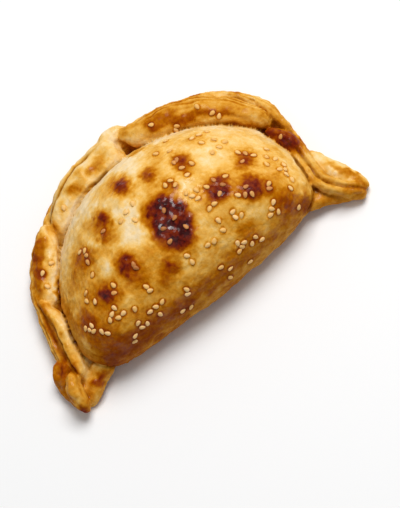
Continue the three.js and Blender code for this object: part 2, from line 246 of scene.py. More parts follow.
def pleat_gap(points, line, tilt, at_once=8000):
    """Distance outside a pleat, in the ellipse at the nearest station, with the millimetres along it and the
    angle round it from its outer side. Points far away are left at a fixed distance."""
    middle, along, half, rise, run = line
    gap = np.full(len(points), FAR)
    far_along = np.zeros(len(points))
    angle = np.zeros(len(points))
    room = FAR + half.max()
    low, high = middle[:, :2].min(0) - room, middle[:, :2].max(0) + room
    close = np.flatnonzero(np.all((points[:, :2] > low) & (points[:, :2] < high), axis=1))
    lean = np.radians(-tilt)
    for some in np.array_split(close, len(close) // at_once + 1):
        apart = points[some, None, :2] - middle[None, :, :2]
        station = np.argmin((apart ** 2).sum(-1), axis=1)
        away = points[some] - middle[station]
        out = away[:, 1] * along[station, 0] - away[:, 0] * along[station, 1]
        across = (out * np.cos(lean) + away[:, 2] * np.sin(lean)) / half[station]
        up = (away[:, 2] * np.cos(lean) - out * np.sin(lean)) / rise[station]
        e = np.maximum(np.hypot(across, up), 1e-6)
        gap[some] = e * (e - 1) / np.hypot(across / half[station], up / rise[station])
        far_along[some] = run[station]
        angle[some] = np.arctan2(up, across)
    return np.minimum(gap, FAR), far_along, angle


def sheet_skin(path, columns=240):
    """The flat sheet underneath: the sealed border's middle line, closed straight across under the fold."""
    line = curve_through(path, np.linspace(1, 0, columns))[:, :2]
    rings = [np.column_stack([line, np.full(columns, z)]) for z in (0, SHEET_THICKNESS)]
    return closed_skin(np.stack(rings))


def joined(skins):
    """Several skins as one: all their points, and their faces counted on from the points before them."""
    points, faces, count = [], [], 0
    for skin_points, *kinds in skins:
        points.append(skin_points)
        for kind in kinds:
            faces += (kind + count).tolist()
        count += len(skin_points)
    return np.vstack(points), faces


def fused(skins):
    """All the overlapping skins as one, by a voxel remesh: its points and its quads."""
    points, faces = joined(skins)
    mesh = bpy.data.meshes.new("rough dough")
    mesh.from_pydata(points, [], faces)
    rough = bpy.data.objects.new("rough dough", mesh)
    bpy.context.collection.objects.link(rough)
    remesh = rough.modifiers.new("one skin", "REMESH")
    remesh.mode = "VOXEL"
    remesh.voxel_size = VOXEL
    whole = bpy.data.meshes.new_from_object(rough.evaluated_get(bpy.context.evaluated_depsgraph_get()))
    bpy.data.objects.remove(rough)
    bpy.data.meshes.remove(mesh)
    skin = np.empty(len(whole.vertices) * 3)
    whole.vertices.foreach_get("co", skin)
    quads = np.empty(len(whole.polygons) * 4, int)
    whole.polygons.foreach_get("vertices", quads)
    bpy.data.meshes.remove(whole)
    return skin.reshape(-1, 3), quads.reshape(-1, 4)


def outward(points, quads):
    """Unit normal at each point: the sum of the crossed diagonals of the quads that meet there."""
    a, b, c, d = points[quads.T]
    cross = np.cross(c - a, d - b)
    corners = quads.ravel()
    total = np.stack([np.bincount(corners, np.repeat(part, 4), len(points)) for part in cross.T], -1)
    return total / np.linalg.norm(total, axis=1, keepdims=True)


def neighbour_mean(values, quads):
    """Mean of a row of values at each point over the points that an edge joins to it."""
    near = quads.ravel()
    far = np.roll(quads, -1, axis=1).ravel()
    count = np.bincount(near, minlength=len(values))
    return np.stack([np.bincount(near, column[far], len(values)) / count for column in values.T], -1)


def relaxed(points, quads, rounds, there=0.5, back=0.52):
    """Taubin smoothing: each round moves every point by a share of the way to the mean of its neighbours,
    then by a slightly larger share back."""
    for step in (there, -back) * rounds:
        points = points + step * (neighbour_mean(points, quads) - points)
    return points


def blurred(values, quads, rounds):
    """Rows of values blurred over the skin: each round blends every point evenly with its neighbours."""
    for i in range(rounds):
        values = (values + neighbour_mean(values, quads)) / 2
    return values


NOISE_APART = 17.3
NOISE_GAIN = 1.7
LOW_BITS = 0xFFFFFFFF
CORNER_FACTORS = np.array([73856093, 19349663, 83492791])
BIT_MIXERS = [(15, 2246822519), (13, 3266489917)]
SLOPE_BITS = 10
SLOPE_MOST = 2 ** SLOPE_BITS - 1


def mottle(points, size, seed):
    """Gradient noise, about -1 to 1: a random slope at each corner of a cubic lattice, blended smoothly
    between. A corner's slope comes from its whole numbers, multiplied and mixed bit by bit."""
    q = points / size + NOISE_APART * seed
    corner = np.floor(q).astype(np.int64)
    at = q - corner
    fade = at ** 3 * (at * (at * 6 - 15) + 10)
    total = np.zeros(len(points))
    for step in np.ndindex(2, 2, 2):
        x, y, z = ((corner + step) * CORNER_FACTORS).T
        mixed = (x ^ y ^ z) & LOW_BITS
        for shift, factor in BIT_MIXERS:
            mixed = ((mixed ^ (mixed >> shift)) * factor) & LOW_BITS
        slope = np.stack([mixed >> SLOPE_BITS * axis & SLOPE_MOST for axis in range(3)], -1)
        rise = np.einsum("ij,ij->i", slope * 2 / SLOPE_MOST - 1, at - step)
        total += np.prod(np.where(step, fade, 1 - fade), axis=1) * rise
    return NOISE_GAIN * total


def mottles(points, layers):
    """Several layers of noise added up, each given by its size in millimetres, its height and its seed."""
    return sum(height * mottle(points, size, seed) for size, height, seed in layers)


lines = {}
skins = [dome_skin(), sheet_skin(PLEATS["sealed border"][-1])]
for name, (thick, nose, tilt, tone, path) in PLEATS.items():
    lines[name] = pleat_line(thick, nose, path)
    skins.append(pleat_skin(lines[name], tilt))
dough_points, dough_quads = fused(skins)
dough_points = relaxed(dough_points, dough_quads, ROUNDING)


def spread(values, rounds):
    """One value a point of the dough, blurred over its skin."""
    return blurred(values[:, None], dough_quads, rounds)[:, 0]


# Which fold each point lies on, and how near it is to the next one: where two folds meet there is a crease
folds = ["dome", *PLEATS]
by_pleat = {name: pleat_gap(dough_points, lines[name], PLEATS[name][2]) for name in PLEATS}
gaps = np.stack([dome_gap(dough_points)] + [gap for gap, run, angle in by_pleat.values()])
fold, other = np.argsort(np.abs(gaps), axis=0)[:2]
to_crease = np.maximum(0, np.partition(gaps, 1, axis=0)[1])


def on(*names):
    """Which points lie on any of the named folds."""
    return np.isin(fold, [folds.index(name) for name in names])


def beside(*names):
    """Which points lie next to any of the named folds."""
    return np.isin(other, [folds.index(name) for name in names])


on_dome = on("dome")
on_roll = on("main roll")
by_dome = on_dome | beside("dome")
under_roll = by_dome & (on_roll | beside("main roll"))
on_pleat = 1 - spread(on_dome.astype(float), rounds=6)

# Patches are placed as seen from a little in front of upright, x along the fold and up the slanted view
SLANT = np.radians(20)
VIEW_UP = np.array([0, np.cos(SLANT), np.sin(SLANT)])
VIEW_FROM = np.array([0, -np.sin(SLANT), np.cos(SLANT)])
FACING_VIEW = (-0.1, 0.4)


def outside_patch(seen, x, up, half_x, half_up, turn=0, power=2.2):
    """Distance outside a rounded patch in the slanted view, a superellipse, negative inside it."""
    c, s = np.cos(np.radians(turn)), np.sin(np.radians(turn))
    dx, du = seen[:, 0] - x, seen[:, 1] - up
    along = np.abs((c * dx + s * du) / half_x)
    across = np.abs((c * du - s * dx) / half_up)
    return ((along ** power + across ** power) ** (1 / power) - 1) * np.sqrt(half_x * half_up)


seen = np.column_stack([dough_points[:, 0], dough_points @ VIEW_UP])
seen_x, seen_up = seen.T
normal = outward(dough_points, dough_quads)
facing = normal @ VIEW_FROM
from_above = smooth(*FACING_VIEW, facing)

# Creases are drawn in where the skin is hollow, less deep where the folds are pressed together, in places
# given by their middle and half sizes
ROLL_CREASE = 1.5
DOME_CREASE = 2.0
FOLD_CREASE = 1.6
HOLLOW_BLUR = 13
HOLLOW_CREASED = (0.05, 0.42)
PRESSED = [(-71, 15, 5, 9), (62.5, 39, 3.5, 7), (6.5, 80, 3, 5)]
PRESSED_EDGE = (2, -1)
PRESSED_SHUT = 0.85
hollow = np.einsum("ij,ij->i", blurred(dough_points, dough_quads, HOLLOW_BLUR) - dough_points, normal)
hollow = spread(hollow, rounds=3)
crease = smooth(*HOLLOW_CREASED, hollow)
crease_depth = np.where(under_roll, ROLL_CREASE, np.where(by_dome, DOME_CREASE, FOLD_CREASE))
crease_depth = spread(crease_depth, rounds=8)
pressed = np.zeros(len(dough_points))
for patch in PRESSED:
    pressed = np.maximum(pressed, smooth(*PRESSED_EDGE, outside_patch(seen, *patch)))
crease_depth *= 1 - PRESSED_SHUT * pressed
ease = blurred(normal, dough_quads, rounds=6)
ease /= np.linalg.norm(ease, axis=1, keepdims=True)

# Blistered patches of the dome and scorched ones of the pleats: middle, half sizes, turn in degrees, and
# how dark they baked, from 0 for pale dough to 1 for charred. Each place is looked up a little to one side,
# which makes their edges ragged.
BLISTERS = [
    (3.0, 40.4, 8.0, 12.2, -6, 1.0), (-4.8, 66.1, 3.0, 3.5, 0, 0.84), (7.5, 62.6, 2.1, 2.1, 0, 0.76),
    (21.8, 58.6, 2.9, 3.6, 0, 0.76), (27.2, 39.4, 5.2, 4.4, 0, 0.92), (44.4, 42.2, 3.2, 2.8, 0, 0.78),
    (38.5, 31.0, 4.8, 5.0, 0, 0.84), (-19.9, 59.8, 2.5, 2.9, 0, 0.88), (-22.9, 53.9, 1.9, 2.4, 0, 0.68),
    (-22.9, 38.0, 4.0, 4.4, 0, 0.93), (-23.0, 31.6, 3.9, 4.4, 0, 0.64), (-37.8, 33.4, 2.8, 2.9, 0, 0.97),
    (-37.8, 33.0, 4.6, 4.4, 0, 0.56), (-36.4, 51.6, 3.4, 2.8, 0, 0.70), (-11.2, 34.4, 2.8, 2.8, 0, 0.42),
    (-11.4, 24.8, 4.5, 2.0, 28, 0.62), (-8.8, 25.6, 2.2, 2.3, 0, 0.94), (45.2, 26.8, 1.7, 2.6, 0, 0.74),
    (12.2, 52.6, 1.5, 2.2, 0, 0.55), (46.4, 16.3, 5.2, 3.8, 30, 0.70), (25.8, 17.2, 2.6, 2.8, 0, 0.54),
    (16.5, 12.0, 4.4, 2.4, 0, 0.50),
]
SCORCHED = [(65.0, 38.0, 3.4, 6.4, 20, 0.84), (61.5, 45, 2.6, 3, 20, 0.82)]
WANDER_SIDEWAYS = [(4.5, 1, 1), (2, 0.7, 2)]
WANDER_UP = [(4.5, 1, 3), (2, 0.7, 4)]
WANDER_REACH = 1.2
BLISTER_EDGE = (1.0, -2.4)
sideways = mottles(dough_points, WANDER_SIDEWAYS)
ragged = seen + WANDER_REACH * np.column_stack([sideways, mottles(dough_points, WANDER_UP)])
blistered = [(patch, on_dome) for patch in BLISTERS] + [(patch, ~on_dome) for patch in SCORCHED]
blister = np.zeros(len(dough_points))
for (*patch, depth), skin in blistered:
    inside = smooth(*BLISTER_EDGE, outside_patch(ragged, *patch)) * skin
    blister = np.maximum(blister, depth * inside * from_above)

# The roll's end runs on a slant from the tuck down to the dome, and the dough beside it is notched
ROLL_END = [(16.6, 74.5), (12.5, 75.6), (10.0, 78.6), (8.4, 82.7), (5.4, 87.0)]
NOTCH_EDGE = (-0.5, 1.0)
NOTCH_DEPTH = 1.9
end_x, end_up = np.array(ROLL_END).T
past_end = np.interp(seen_up, end_up, end_x) - seen_x
notch = spread(on_roll * smooth(*NOTCH_EDGE, past_end), rounds=1)

# Relief of the dough: lumps in layers of noise all over, pebbles in the blisters, and on the dome wrinkles
# stretched along the fold and fine ridges in patches
LUMPS = [(10, 0.36, 5), (4, 0.25, 6), (1.9, 0.24, 7)]
PEBBLES = [(2.6, 0.5, 8), (1.4, 0.3, 12)]
BLISTER_RISE = 0.3
WRINKLE_SIZE = (16, 2.4)
WRINKLE_BAND = (15, 6)
WRINKLE_DEPTH = 0.45
WRINKLE_SHARPNESS = 4
RIDGE_SPACING = 7
RIDGE_PATCH = 15
RIDGE_PATCH_EDGE = (-0.1, 0.4)
RIDGE_HEIGHT = 0.4
RIDGE_SHARPNESS = 7
stretched = np.column_stack([seen / WRINKLE_SIZE, np.zeros(len(seen))])
wrinkle = (1 - np.abs(mottle(stretched, size=1, seed=13))) ** WRINKLE_SHARPNESS * on_dome
wrinkle *= smooth(*WRINKLE_BAND, seen_up)
ridge = (1 - np.abs(mottle(dough_points, RIDGE_SPACING, seed=30))) ** RIDGE_SHARPNESS * on_dome
ridge *= smooth(*RIDGE_PATCH_EDGE, mottle(dough_points, RIDGE_PATCH, seed=31))
lift = mottles(dough_points, LUMPS) + blister * (BLISTER_RISE + mottles(dough_points, PEBBLES))
lift += RIDGE_HEIGHT * ridge - WRINKLE_DEPTH * wrinkle

# Relief of the pleats: streaks along each, flaky layers on the outer side of some, from a start along the
# pleat and up to an angle round it, and grooves, each with its pleat, angle, start, end and depth
STREAK_SIZE = (9, 2.1)
STREAK_HEIGHT = 0.36
FINE_STREAK = 0.6
FINE_STREAK_SCALE = np.array([2.2, 1.6, 1])
PLEAT_APART = 7.3
LAYERED = {
    "main roll": (16, 1.75), "roll layers": (0, 2.5), "left band": (0, 2.0), "second pleat": (6, 1.1),
    "first pleat": (6, 1.1), "sealed border": (0, 1.0),
}
LAYER_SPACING = 2.4
LAYER_HEIGHT = 0.8
LAYER_FADE = 12
LAYER_TOP_FADE = 0.5
LAYER_FOOT = (-0.6, -0.1)
LAYER_SWAY = 3.2
LAYER_SHARE = 0.65
LAYER_PATCHY = 0.5
GROOVES = [
    ("second pleat", 2.68, 28, 60, 0.9), ("second pleat", 1.02, 12, 58, 0.8),
    ("first pleat", 0.95, 14, 56, 0.8), ("left band", 1.75, 4, 48, 0.7), ("left leaf", 0.95, 4, 38, 0.6),
    ("right ear", 1.5, 22, 40, 0.4), ("scorched tuck", 1.9, 0, 22, 0.4),
]
GROOVE_WIDTH = 0.9
GROOVE_SWAY = 1.2
GROOVE_SWAY_SCALE = np.array([1.2, 0, 1])
GROOVE_FADE = 8
PLEAT_LUMPS = [(8, 1, 22), (3.6, 0.4, 23)]
PLEAT_LUMP_HEIGHT = 0.55
PLEAT_SHARPER = 1.15
girth = {name: thick / 2 for name, (thick, nose, tilt, tone, path) in PLEATS.items()}
flows = {}
layer, streak, groove = np.zeros((3, len(dough_points)))
for index, (name, (gap, run, angle)) in enumerate(by_pleat.items()):
    apart = np.full(len(run), PLEAT_APART * index)
    flows[name] = np.column_stack([run / STREAK_SIZE[0], angle * girth[name] / STREAK_SIZE[1], apart])
    fine_streak = FINE_STREAK * mottle(flows[name] * FINE_STREAK_SCALE, size=1, seed=16)
    streak += on(name) * (mottle(flows[name], size=1, seed=15) + fine_streak)
patchy = LAYER_SHARE + LAYER_PATCHY * mottle(dough_points, size=11, seed=20)
layer_sway = LAYER_SWAY * mottle(dough_points, size=10, seed=9)
for name, (start, top) in LAYERED.items():
    gap, run, angle = by_pleat[name]
    outer_side = on(name) * smooth(start, start + LAYER_FADE, run)
    outer_side *= smooth(top, top - LAYER_TOP_FADE, angle) * smooth(*LAYER_FOOT, angle) * patchy
    layer += outer_side * np.sin(angle * girth[name] * 2 * np.pi / LAYER_SPACING + layer_sway)
for name, at_angle, start, end, depth in GROOVES:
    gap, run, angle = by_pleat[name]
    groove_sway = GROOVE_SWAY * mottle(flows[name] * GROOVE_SWAY_SCALE, size=1, seed=21)
    length = smooth(start, start + GROOVE_FADE, run) * smooth(end, end - GROOVE_FADE, run)
    across = bell((angle - at_angle) * girth[name] - groove_sway, GROOVE_WIDTH)
    groove = np.maximum(groove, on(name) * length * depth * across)
forms = np.column_stack([layer, streak, groove])
layer, streak, groove = PLEAT_SHARPER * blurred(forms, dough_quads, rounds=2).T
pleat_lumps = mottles(dough_points, PLEAT_LUMPS)
lift += LAYER_HEIGHT * layer + STREAK_HEIGHT * streak - groove
lift += PLEAT_LUMP_HEIGHT * on_pleat * pleat_lumps - NOTCH_DEPTH * notch
lift = spread(lift, rounds=1)

# The relief stands on the skin, off the floor, and the creases are smoothed once they are drawn in
OFF_FLOOR = (0.3, 3)
CREASE_SMOOTHED = (0.1, 0.6)
CREASE_SMOOTHING = 0.9
off_floor = smooth(*OFF_FLOOR, dough_points[:, 2])
drawn_in = crease_depth * crease * off_floor
dough_points = dough_points + normal * (lift * off_floor)[:, None] - ease * drawn_in[:, None]
settled = blurred(dough_points, dough_quads, rounds=4)
dough_points += (settled - dough_points) * (CREASE_SMOOTHING * smooth(*CREASE_SMOOTHED, crease))[:, None]
dough_points = relaxed(dough_points, dough_quads, rounds=2)
dough_points[:, 2] = np.maximum(dough_points[:, 2], 0)


def in_frame(points):
    """Millimetres from the middle of the fold as metres in the frame: shifted, then scaled."""
    return (np.asarray(points) + FOLD_IN_FRAME) / MM_PER_METRE


def new_piece(name, points, faces):
    """A smooth mesh object at the origin, from points in metres and the corners of its faces."""
    mesh = bpy.data.meshes.new(name)
    mesh.from_pydata(points, [], faces)
    mesh.shade_smooth()
    piece = bpy.data.objects.new(name, mesh)
    bpy.context.collection.objects.link(piece)
    return piece


dough = new_piece("dough", in_frame(dough_points), dough_quads)

# How far the dough has browned, from 0 for pale to 1 for charred, with painted shade of the creases,
# the grooves and a few patches added to it further on. Each fold has a tone of its own, mottled. The
# dome's changes by an amount from a start to an end along x or up the view, is darker on the fold's
# shoulder, and is paler at the rim, by an amount over a range of heights, one up the view and one along x.
ALONG = 0
UP = 1
DOME_TONE = 0.31
TONE_MOTTLES = [(13, 0.08, 10), (5, 0.08, 11), (2.2, 0.05, 14)]
DOME_SHADES = [(0.15, UP, 21, 7), (0.10, ALONG, 5, -50), (-0.08, UP, 9, 3)]
SHOULDER_UP = 10.5
SHOULDER_WIDTH = 4.5
SHOULDER_TONE = 0.04
SHOULDER_LEFT_TONE = 0.06
SHOULDER_LEFT = (10, -20)
PALE_RIMS = [(0.26, (30, 18), (38, 56), (40, 15)), (0.13, (34, 24), (34, 44), (30, 45))]
tones = np.array([DOME_TONE] + [tone for thick, nose, tilt, tone, path in PLEATS.values()])
browning = spread(tones[fold], rounds=2) + mottles(dough_points, TONE_MOTTLES)
for amount, axis, start, end in DOME_SHADES:
    browning += on_dome * amount * smooth(start, end, seen[:, axis])
shoulder = SHOULDER_TONE + SHOULDER_LEFT_TONE * smooth(*SHOULDER_LEFT, seen_x)
browning += on_dome * shoulder * bell(seen_up - SHOULDER_UP, SHOULDER_WIDTH)
for amount, heights, ups, sides in PALE_RIMS:
    low_down = smooth(*heights, dough_points[:, 2])
    browning -= amount * on_dome * low_down * smooth(*ups, seen_up) * smooth(*sides, seen_x)

# Pale places of the dome, which the heat reached last: middle and radius
PALE = [
    (-30, 42, 4), (-13, 46.5, 7), (3, 71, 8), (-10, 58, 8), (14, 49, 5), (22, 61, 6), (34, 52, 7),
    (-21, 67, 6), (-30, 56, 4),
]
PALE_EDGE = (3, -5)
PALE_TONE = 0.24
for x, up, radius in PALE:
    browning -= PALE_TONE * smooth(*PALE_EDGE, outside_patch(ragged, x, up, radius, radius)) * on_dome

# The dough is paler where dome and border face each other and on the dome's ridges. The pleats are browner
# on their lumps, darker in their grooves by painted shade, and paler on their layers and streaks.
FACE_TONE = 0.10
FACE_REACH = 4.5
FACE_UP = (12, 30)
LUMP_TONE = 0.20
LUMP_BROWNED = (0.1, 0.9)
PLEAT_TONE = 0.06
GROOVE_SHADE_TONE = 0.28
LAYER_TONE = 0.26
STREAK_TONE = 0.08
RIDGE_TONE = 0.12
browning -= FACE_TONE * by_dome * ~on_roll * bell(to_crease, FACE_REACH) * smooth(*FACE_UP, seen_up)
browning += on_pleat * ~on_roll * (LUMP_TONE * smooth(*LUMP_BROWNED, pleat_lumps) - PLEAT_TONE)
browning += GROOVE_SHADE_TONE * groove - LAYER_TONE * layer - STREAK_TONE * streak - RIDGE_TONE * ridge

# The roll has a browned stripe along its crown, placed by its angle round the roll and millimetres along
# it. The stripe swings inwards at its bend, then narrows and pales. The flanks beside it are amber.
STRIPE_ANGLE = 2.13
STRIPE_SWAY = 0.15
STRIPE_SWING = 0.32
STRIPE_BEND = 38.5
STRIPE_BEND_LENGTH = 5
STRIPE_NARROWS = (38, 48)
STRIPE_WIDTH = 0.36
STRIPE_TONE = 0.54
STRIPE_LOSS = 0.15
STRIPE_START = (19, 27)
STRIPE_END = (70, 50)
STRIPE_MOTTLE = 0.35
INNER_TONE = 0.05
INNER_START = (20, 30)
INNER_FAR_TONE = 0.17
INNER_FAR_SIDE = (2.35, 2.8)
INNER_FAR_START = (46, 60)
INNER_NEAR_TONE = 0.10
INNER_NEAR_SIDE = (2.4, 1.9)
INNER_NEAR_END = (20, 8)
OUTER_TONE = 0.12
OUTER_SIDE = (2.05, 1.75)
OUTER_START = (14, 28)
OUTER_NEAR_TONE = 0.09
OUTER_NEAR_END = (42, 32)
ROLL_DARKEST = 0.60
NOTCH_TONE = 0.30
gap, run, angle = by_pleat["main roll"]
ribbon = angle + STRIPE_SWAY * mottle(dough_points, size=9, seed=24)
narrowed = STRIPE_LOSS * smooth(*STRIPE_NARROWS, run)
stripe_angle = STRIPE_ANGLE + STRIPE_SWING * bell(run - STRIPE_BEND, STRIPE_BEND_LENGTH)
stripe = bell(ribbon - stripe_angle, STRIPE_WIDTH - narrowed) * (STRIPE_TONE - narrowed)
stripe *= smooth(*STRIPE_START, run) * smooth(*STRIPE_END, run)
stripe *= 1 + STRIPE_MOTTLE * mottle(dough_points, size=4, seed=25)
inner_flank = INNER_TONE * smooth(*INNER_START, run)
inner_flank += INNER_FAR_TONE * smooth(*INNER_FAR_SIDE, ribbon) * smooth(*INNER_FAR_START, run)
inner_flank += INNER_NEAR_TONE * smooth(*INNER_NEAR_SIDE, ribbon) * smooth(*INNER_NEAR_END, run)
outer_flank = OUTER_TONE + OUTER_NEAR_TONE * smooth(*OUTER_NEAR_END, run)
outer_flank *= smooth(*OUTER_SIDE, ribbon) * smooth(*OUTER_START, run)
browning += (stripe + inner_flank + outer_flank) * on_roll
browning = np.where(on_roll, np.minimum(browning, ROLL_DARKEST), browning)
browning += (NOTCH_TONE - browning) * notch

# The leaf is browner on its outer side
LEAF_TONE = 0.15
LEAF_SIDE = (2.3, 1.5)
LEAF_SWAY = 0.2
leaf_angle = by_pleat["left leaf"][2] + LEAF_SWAY * mottle(dough_points, size=6, seed=24)
browning += LEAF_TONE * on("left leaf") * smooth(*LEAF_SIDE, leaf_angle)

# Browned patches, three of them painted shade instead: on the dome's rim by the first pleat, in the cleft
# at the roll's start and on the dome's rim below the roll. Each has its middle, half sizes, turn and tone.
BROWNED_AND_SHADED = [
    (1.8, 41.2, 9.4, 12.6, -6, 0.60), (-51.8, 28.4, 4, 5, 0, 0.64), (-57.2, 34, 1.8, 8, -6, 0.50),
    # (-55.8, 47.4) is painted shade of the crease between the dome and the first pleat
    (-55.8, 47.4, 7, 1.0, 50, 0.52), (50.5, 27.5, 2.6, 3, 0, 0.46), (-49.7, 19.1, 6, 6, 0, 0.58),
    (-43.9, 12.3, 11, 4, -8, 0.63), (-24.4, 10.8, 10, 3, -5, 0.55), (52.4, 11.7, 3, 3, 0, 0.64),
    (-49.5, 70, 3.5, 2.4, 40, 0.62), (-54, 65.5, 3.4, 3.2, 0, 0.68), (-57.5, 60, 2.8, 3.4, 0, 0.70),
    (-61.5, 54, 2.2, 4, -20, 0.60), (-68.4, 36.1, 1.6, 9, -14, 0.55), (-21.4, 79.0, 2.6, 2.2, 30, 0.48),
    (-23.2, 80.9, 1.6, 1.1, 0, 0.58), (-7.5, 82.6, 5.5, 2.4, 12, 0.45), (-11.2, 82.2, 1.6, 1.4, 0, 0.56),
    (-39.4, 72.6, 2, 1.6, 40, 0.50), (22, 81.4, 2.4, 1.8, -20, 0.60), (12.5, 86.5, 2.2, 2.4, 0, 0.42),
    # (8, 77.5) and (11.5, 75.4) are painted shade in the cleft at the roll's start and on the rim below the
    # roll
    (8, 77.5, 2.4, 3, 20, 0.60), (11.5, 75.4, 4.5, 0.8, -14, 0.60), (68.6, 46, 1.6, 4, 10, 0.46),
    (-45, 29.5, 4.5, 3, 0, 0.46), (76.9, 10.1, 1.6, 9, 25, 0.50), (74.6, 2.2, 4, 2, -30, 0.48),
    (63.1, 5, 6, 2.6, -25, 0.48), (-63, 6.6, 4, 1.6, 10, 0.74), (-72.5, 3, 2.4, 2, 20, 0.52),
    (-74.6, 19.4, 2.6, 1.2, 45, 0.72), (-78.7, -1, 2.4, 2.4, 0, 0.84), (-77.6, 17.5, 3, 2, 30, 0.58),
    (-79.8, 10, 1.2, 6, 0, 0.55), (-75.5, 10.5, 1.6, 2.4, 0, 0.42),
]
BROWNED_AND_SHADED_EDGE = (3.0, -2.2)


def browned(browning, tone, share):
    """Browning drawn towards a tone by a share, where that makes it darker."""
    return np.maximum(browning, browning + (tone - browning) * share)


for *patch, tone in BROWNED_AND_SHADED:
    share = smooth(*BROWNED_AND_SHADED_EDGE, outside_patch(ragged, *patch)) * from_above
    browning = browned(browning, tone, share)

# Each blister has an amber ring round a charred, uneven heart
RING_EDGE = (4.6, -0.8)
RING_TONE = 0.54
HEART_EDGE = (1.8, -3.0)
HEART_MOTTLES = [(5, 1, 26), (2.2, 0.5, 27)]
HEART_UNEVEN = (-0.1, 0.5)
HEART_LOSS = 0.2
EDGE_GRAIN = 0.5
charred = 1 - HEART_LOSS * smooth(*HEART_UNEVEN, mottles(dough_points, HEART_MOTTLES))
edge_grain = EDGE_GRAIN * mottle(dough_points, size=1.5, seed=19)
for (*patch, depth), skin in blistered:
    away = outside_patch(ragged, *patch) + edge_grain
    browning = browned(browning, min(depth, RING_TONE), smooth(*RING_EDGE, away) * from_above * skin)
    browning = browned(browning, depth * charred, smooth(*HEART_EDGE, away) * from_above * skin)

# The underside baked evenly on its tray
UNDERSIDE_TONE = 0.58
UNDERSIDE_MOTTLE = 0.06
FACING_DOWN = (-0.3, -0.8)
underside = smooth(*FACING_DOWN, normal[:, 2])
browning += (UNDERSIDE_TONE + UNDERSIDE_MOTTLE * sideways - browning) * underside

# Gloss: sugars that caramelised in the charred places, with a trace on the roll's stripe, and the egg that
# was brushed on from above, with less of it left on the roll
CHARRED_GLOSS = (0.62, 0.95)
STRIPE_GLOSS = (0.40, 0.60)
STRIPE_GLOSS_MOST = 0.05
BRUSHED = (0.35, 0.8)
ROLL_WASH_LOSS = 0.7
gloss = smooth(*CHARRED_GLOSS, browning) * from_above * on("dome", "scorched tuck") * (1 - underside)
stripe_gloss = smooth(*STRIPE_GLOSS, browning) * from_above * spread(on_roll.astype(float), rounds=2)
gloss = np.maximum(gloss, STRIPE_GLOSS_MOST * stripe_gloss)
wash = smooth(*BRUSHED, facing) * spread(1 - ROLL_WASH_LOSS * on_roll, rounds=2)

# Painted shade of the creases: in the hollows, in the slit behind the border, kept by a share at places
# along the fold, between the two strands, in the notch and the grooves, and under the first pleat; and
# painted shade on the dome's band along the fold, which faces away from the light
# Share of the painted slit shade that is kept at places along the fold
SLIT_SHADE_KEPT = [
    (-60, 1), (-40, 0.9), (-33, 0.35), (-19, 0.35), (-13, 0.9), (0, 0.6), (6, 0.35), (14, 0.4), (25, 0.45),
    (32, 0.5), (60, 0.5),
]
SLIT_SHADE_KEPT_ABOVE = 50
HOLLOW_SHADE = 0.85
HOLLOW_SHADED = (0.10, 0.50)
SLIT_WIDTH = 0.9
ROLL_SLIT_WIDTH = 1.15
ROLL_SLIT_START = (14, 40)
SLIT_SHADED = (0.18, 0.62)
SLIT_SHARE = 0.95
SLIT_MOTTLE = 0.22
PRESSED_SHADE_LOSS = 0.6
STRAND_SHADE = 0.6
STRAND_GAP = 1.1
# Shares of the painted shade that are taken away near the fold and at the dome's right
SHADE_LOSS_AT_FOLD = 0.6
SHADE_LOSS_FOLD_UP = (24, 12)
SHADE_LOSS_AT_RIGHT = 0.25
SHADE_LOSS_RIGHT_ALONG = (50, 58)
SHADE_LOSS_RIGHT_UP = (40, 32)
NOTCH_SHADE = 0.05
NOTCH_EDGE_SHADE = 0.25
NOTCH_EDGE_REACH = 4
FOLD_SHADE = 0.17
FOLD_SHADED = (15, 7)
GROOVE_SHADE = 0.5
FIRST_SHADE = 0.45
FIRST_REACH = 2.2
CREASE_SHADE_TONE = 0.25
slit = by_dome * bell(to_crease, SLIT_WIDTH)
roll_slit = on_roll * under_roll * smooth(*ROLL_SLIT_START, run) * bell(to_crease, ROLL_SLIT_WIDTH)
slit = spread(np.maximum(slit, roll_slit), rounds=4)
slit *= SLIT_SHARE + SLIT_MOTTLE * mottle(dough_points, size=5, seed=17)
shade = np.maximum(HOLLOW_SHADE * smooth(*HOLLOW_SHADED, hollow), smooth(*SLIT_SHADED, slit))
shade *= 1 - PRESSED_SHADE_LOSS * pressed
strands = ("inner strand", "outer strand")
between = on(*strands) & beside(*strands)
shade = np.maximum(shade, STRAND_SHADE * spread(between * bell(to_crease, STRAND_GAP), rounds=1))
kept_at, kept_share = np.array(SLIT_SHADE_KEPT).T
shade_loss_above = 1 - np.interp(seen_x, kept_at, kept_share)
shade_loss_right = SHADE_LOSS_AT_RIGHT * smooth(*SHADE_LOSS_RIGHT_ALONG, seen_x) * smooth(*SHADE_LOSS_RIGHT_UP, seen_up)
shade_loss_below = np.maximum(SHADE_LOSS_AT_FOLD * smooth(*SHADE_LOSS_FOLD_UP, seen_up), shade_loss_right)
shade *= 1 - spread(by_dome * np.where(seen_up > SLIT_SHADE_KEPT_ABOVE, shade_loss_above, shade_loss_below), rounds=3)
notch_shade = NOTCH_SHADE + NOTCH_EDGE_SHADE * smooth(NOTCH_EDGE_REACH, 0, past_end)
shade = np.maximum(shade, notch * notch_shade)
# Painted shade on the dome's band along the fold, which faces away from the light
shade = np.maximum(shade, FOLD_SHADE * on_dome * smooth(*FOLD_SHADED, seen_up))
under_first = on("second pleat") * bell(np.maximum(0, by_pleat["first pleat"][0]), FIRST_REACH)
shade = np.maximum(shade, GROOVE_SHADE * groove + FIRST_SHADE * spread(under_first, rounds=2))
shade = np.clip(shade, 0, 1) * off_floor
# The painted shade is also added to the browning, so the creases come out browner as well as darker
browning += CREASE_SHADE_TONE * shade


